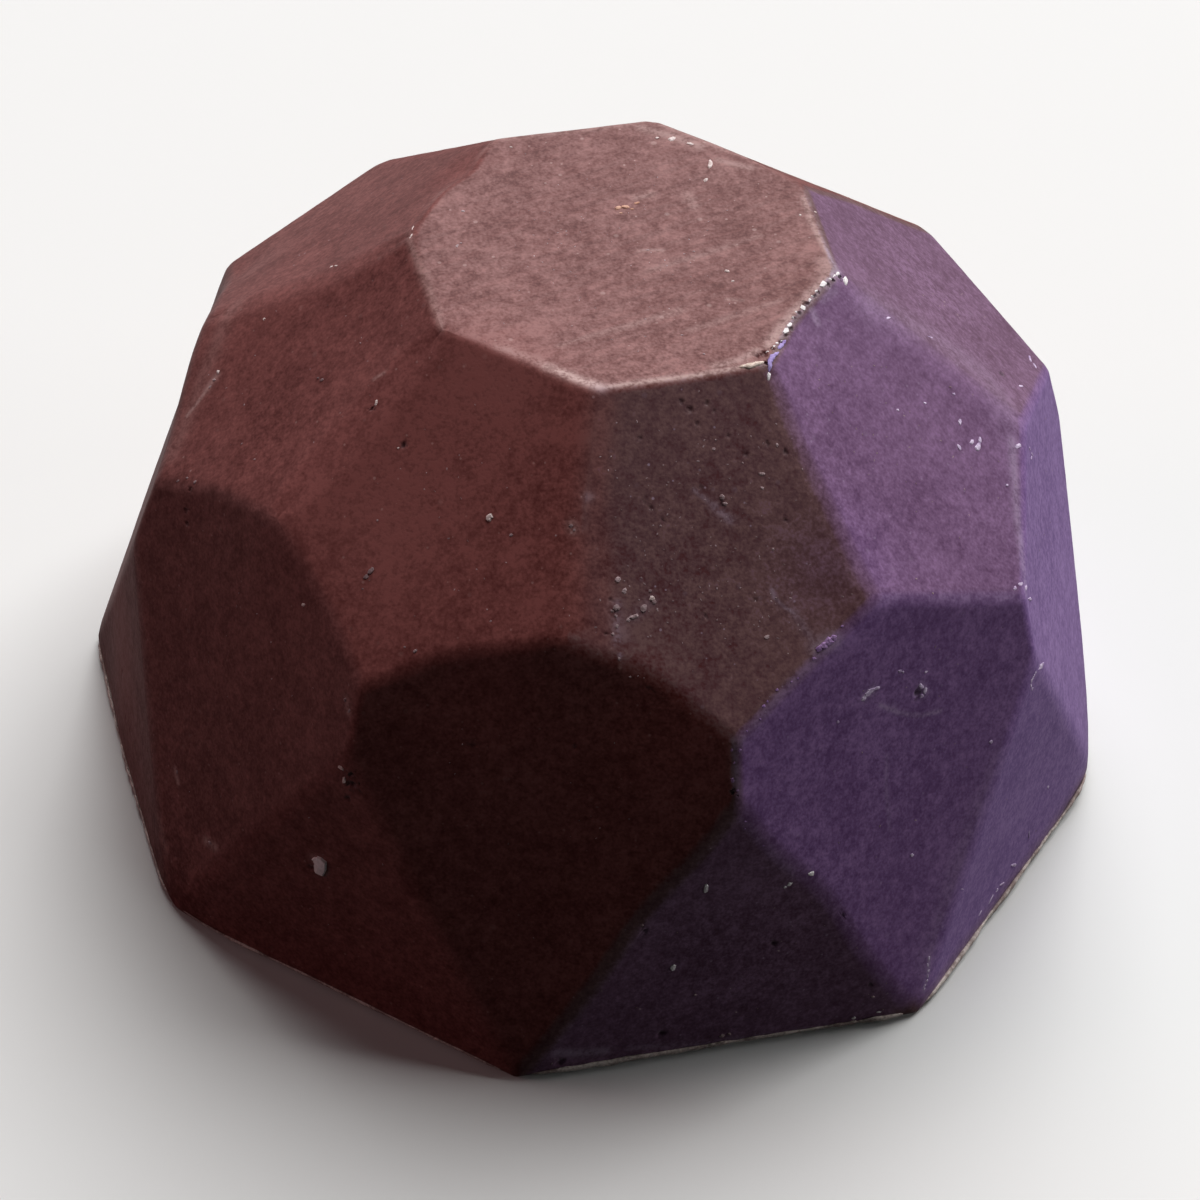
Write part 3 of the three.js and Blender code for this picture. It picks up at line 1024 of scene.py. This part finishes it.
rim_bar = [streak([(739, 367), (752, 365.5), (764, 362)], 5)]
broken_rim = crumbly_finish("broken_rim", deep=(0.50, 0.36, 0.29, 1), pale=(0.84, 0.70, 0.62, 1))
cling("rim_bar", rim_bar, broken_rim, smooth=True)


# Two drips of the coloured cocoa butter ran together, one along the knocked rim and one down from its
# corner, and set there thicker and smoother than the spray.
tint_drip = [
    streak([(786, 340), (782, 345), (778, 349)], 4, rise=0.2),
    streak([(779, 352), (773, 356), (770, 362), (769, 372)], 4.5, rise=0.2),
]
drip_finish = crumbly_finish("tint_drip", deep=(0.27, 0.18, 0.44, 1), pale=(0.44, 0.34, 0.68, 1))
cling("tint_drip", tint_drip, drip_finish, smooth=True)


# A speck of rust-brown sugar is pressed into the table, with smaller grains beside it. It is broken and
# dry, and stands just proud of the skin.
BROWN_SPECK = [
    (618, 208, 9, 7, 10), (625, 207, 11, 7, 5), (632, 209, 6, 4), (637, 203, 8, 4, 15),
    (621, 213, 5, 3),
]
brown_sugar = crumbly_finish("brown_speck", deep=(0.44, 0.19, 0.11, 1), pale=(0.66, 0.38, 0.28, 1))
cling("brown_speck", chips(BROWN_SPECK), brown_sugar)


# The foot was scraped level while the chocolate was soft, which left a thin lumpy burr of paler chocolate
# round its edge, wider on some sides than on others. It is broken into short stretches.
BURR_LEVEL = 0.17
BURR_WIDTHS = (0.30, 0.50, 0.18, 0.18, 0.18, 0.18, 0.30, 0.20)
BURR_SPREAD = (0.7, 1.2)
BURR_RISE = (0.15, 0.30)
BURR_START = 0.06
BURR_BREAKS = 5
BURR_OVERLAP = 0.02
BURR_RINGS = 19
burr = []
for k in range(SIDES):
    start, end = heel[k], heel[(k + 1) % SIDES]
    breaks = np.sort(np.append(rng.uniform(0.1, 0.9, BURR_BREAKS), (BURR_START, 1 - BURR_START)))
    for near_end, far_end in zip(breaks[:-1], breaks[1:]):
        places = []
        for step in crowded(BURR_RINGS):
            along = near_end - BURR_OVERLAP + (far_end - near_end + 2 * BURR_OVERLAP) * step
            places.append(nearest_on_shell((1 - along) * start + along * end + (0, 0, BURR_LEVEL)))
        width = rng.uniform(*BURR_SPREAD) * BURR_WIDTHS[k]
        strip, strip_faces = lumpy_strip(places, width, rng.uniform(*BURR_RISE) * width)
        strip[:, 2] = np.clip(strip[:, 2], 0, None)
        burr.append((strip, strip_faces))
burr_finish = crumbly_finish("foot_burr", deep=(0.34, 0.25, 0.23, 1), pale=(0.78, 0.68, 0.63, 1))
cling("foot_burr", burr, burr_finish, smooth=True)


# The bonbon stands on a plain pale table top. It looks pale to the camera, but throws little light back,
# because the lowest facets are dark in the picture. It lies a hair below the foot.
FLOOR_RADIUS = 2500.0
FLOOR_DROP = 0.02
FLOOR_COLOUR = (0.8, 0.8, 0.79, 1)
FLOOR_BOUNCE = (0.076, 0.076, 0.076, 1)
bpy.ops.mesh.primitive_circle_add(vertices=96, radius=FLOOR_RADIUS * MM, fill_type="NGON")
floor = bpy.context.object
floor.location.z = -FLOOR_DROP * MM
floor.name = "table_top"
floor_finish = bpy.data.materials.new("pale_table_top")
floor_finish.use_nodes = True
floor_tree = floor_finish.node_tree
floor_shader = floor_tree.nodes["Principled BSDF"]
ray = add_node(floor_tree, "LightPath")
floor_colour = add_node(floor_tree, "Mix", {"Factor": ray.outputs["Is Camera Ray"]}, data_type="RGBA")
floor_colour.inputs[6].default_value = FLOOR_BOUNCE
floor_colour.inputs[7].default_value = FLOOR_COLOUR
floor_tree.links.new(floor_colour.outputs[2], floor_shader.inputs["Base Color"])
floor_shader.inputs["Roughness"].default_value = 0.8
floor_shader.inputs["Specular IOR Level"].default_value = 0.2
floor.data.materials.append(floor_finish)


# Three soft panels light it: a wide one above and behind it, a small one low at the right, and a small
# warm one low at the left. The room adds a trace of light all round. Distance and widths are in metres,
# power in watts.
LIGHT_DISTANCE = 1.4
ROOM_LIGHT = (0.018, 0.018, 0.018, 1)


def soft_light(name, direction, width, power, colour=(1, 1, 1)):
    """A soft square panel of light that faces the bonbon."""
    lamp = bpy.data.objects.new(name, bpy.data.lights.new(name, "AREA"))
    bpy.context.scene.collection.objects.link(lamp)
    lamp.data.shape = "SQUARE"
    lamp.data.size = width
    lamp.data.energy = power
    lamp.data.color = colour
    lamp.location = Vector(direction).normalized() * LIGHT_DISTANCE
    lamp.rotation_mode = "QUATERNION"
    lamp.rotation_quaternion = Vector(direction).to_track_quat("Z", "Y")
    lamp.visible_camera = False


soft_light("overhead_panel", (0.19, 0.88, 1.0), 1.52, 37.3)
soft_light("right_panel", (1.45, 0.25, 0.165), 0.6, 4.95)
soft_light("left_panel", (-0.96, -0.10, 0.28), 0.6, 2.65, colour=(1, 0.55, 0.57))

world = bpy.data.worlds.new("room")
bpy.context.scene.world = world
world.use_nodes = True
world.node_tree.nodes["Background"].inputs["Color"].default_value = ROOM_LIGHT
bpy.context.scene.view_settings.view_transform = "Standard"
